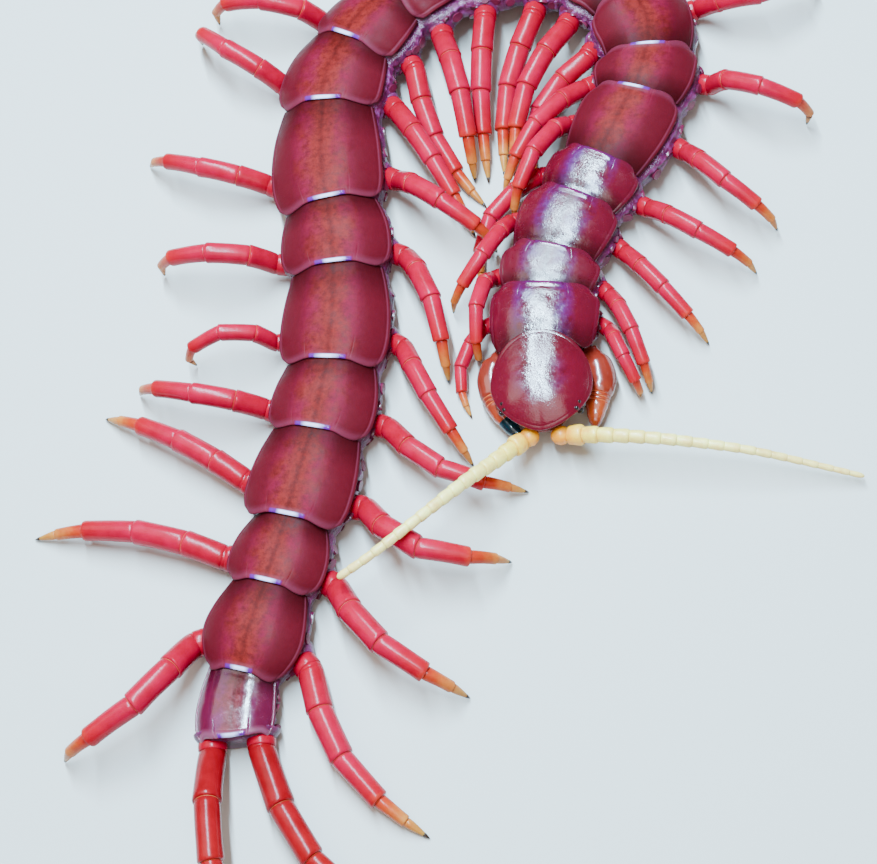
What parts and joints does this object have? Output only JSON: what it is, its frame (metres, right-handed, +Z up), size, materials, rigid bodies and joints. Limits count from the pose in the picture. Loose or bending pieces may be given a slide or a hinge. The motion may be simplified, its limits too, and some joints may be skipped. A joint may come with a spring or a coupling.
{
  "type": "giant centipede",
  "caption": "Giant centipede in a hairpin bend, life size: glossy plated trunk, jointed legs along both sides, long pale feelers, curved poison jaws and trailing last legs.",
  "frame": {"origin": "on the floor under the middle of the box around the whole animal", "axes": "+Z up; +Y the way the rear half of the body runs, from the tail towards the bend; +X to the side where the head lies"},
  "size_m": [0.0974, 0.1482, 0.0089],
  "materials": {
    "trunk_plates": "glossy horny plates, deep maroon",
    "head_horn": "glossy horny plate, dark red",
    "leg_horn": "glossy horn, crimson to orange",
    "last_leg_horn": "glossy horn, red",
    "feeler_horn": "satin horn, pale yellow",
    "jaw_horn": "glossy horn, rust",
    "eye": "polished black"
  },
  "bodies": {
    "root": {"head": "head_horn", "jaw_plate": "jaw_horn", "eye_left": "eye", "feeler_left": "feeler_horn", "poison_jaw_left": "jaw_horn", "eye_right": "eye", "feeler_right": "feeler_horn", "poison_jaw_right": "jaw_horn", "leg_left_01": "leg_horn", "leg_left_02": "leg_horn", "leg_left_03": "leg_horn", "leg_left_04": "leg_horn", "leg_left_05": "leg_horn", "leg_left_06": "leg_horn", "leg_left_07": "leg_horn", "leg_left_08": "leg_horn", "leg_left_09": "leg_horn", "leg_left_10": "leg_horn", "leg_left_11": "leg_horn", "leg_left_12": "leg_horn", "leg_left_13": "leg_horn", "leg_left_14": "leg_horn", "leg_left_15": "leg_horn", "leg_left_16": "leg_horn", "leg_left_17": "leg_horn", "leg_left_18": "leg_horn", "leg_left_19": "leg_horn", "leg_left_20": "leg_horn", "leg_left_21": "last_leg_horn", "leg_right_01": "leg_horn", "leg_right_02": "leg_horn", "leg_right_03": "leg_horn", "leg_right_04": "leg_horn", "leg_right_05": "leg_horn", "leg_right_06": "leg_horn", "leg_right_07": "leg_horn", "leg_right_08": "leg_horn", "leg_right_09": "leg_horn", "leg_right_10": "leg_horn", "leg_right_11": "leg_horn", "leg_right_12": "leg_horn", "leg_right_13": "leg_horn", "leg_right_14": "leg_horn", "leg_right_15": "leg_horn", "leg_right_16": "leg_horn", "leg_right_17": "leg_horn", "leg_right_18": "leg_horn", "leg_right_19": "leg_horn", "leg_right_20": "leg_horn", "leg_right_21": "last_leg_horn", "trunk_01_03": "trunk_plates", "trunk_04_06": "trunk_plates", "trunk_07_09": "trunk_plates", "trunk_10_12": "trunk_plates", "trunk_13_15": "trunk_plates", "trunk_16_18": "trunk_plates", "trunk_19_20": "trunk_plates", "trunk_21": "trunk_plates"}
  },
  "joints": []
}
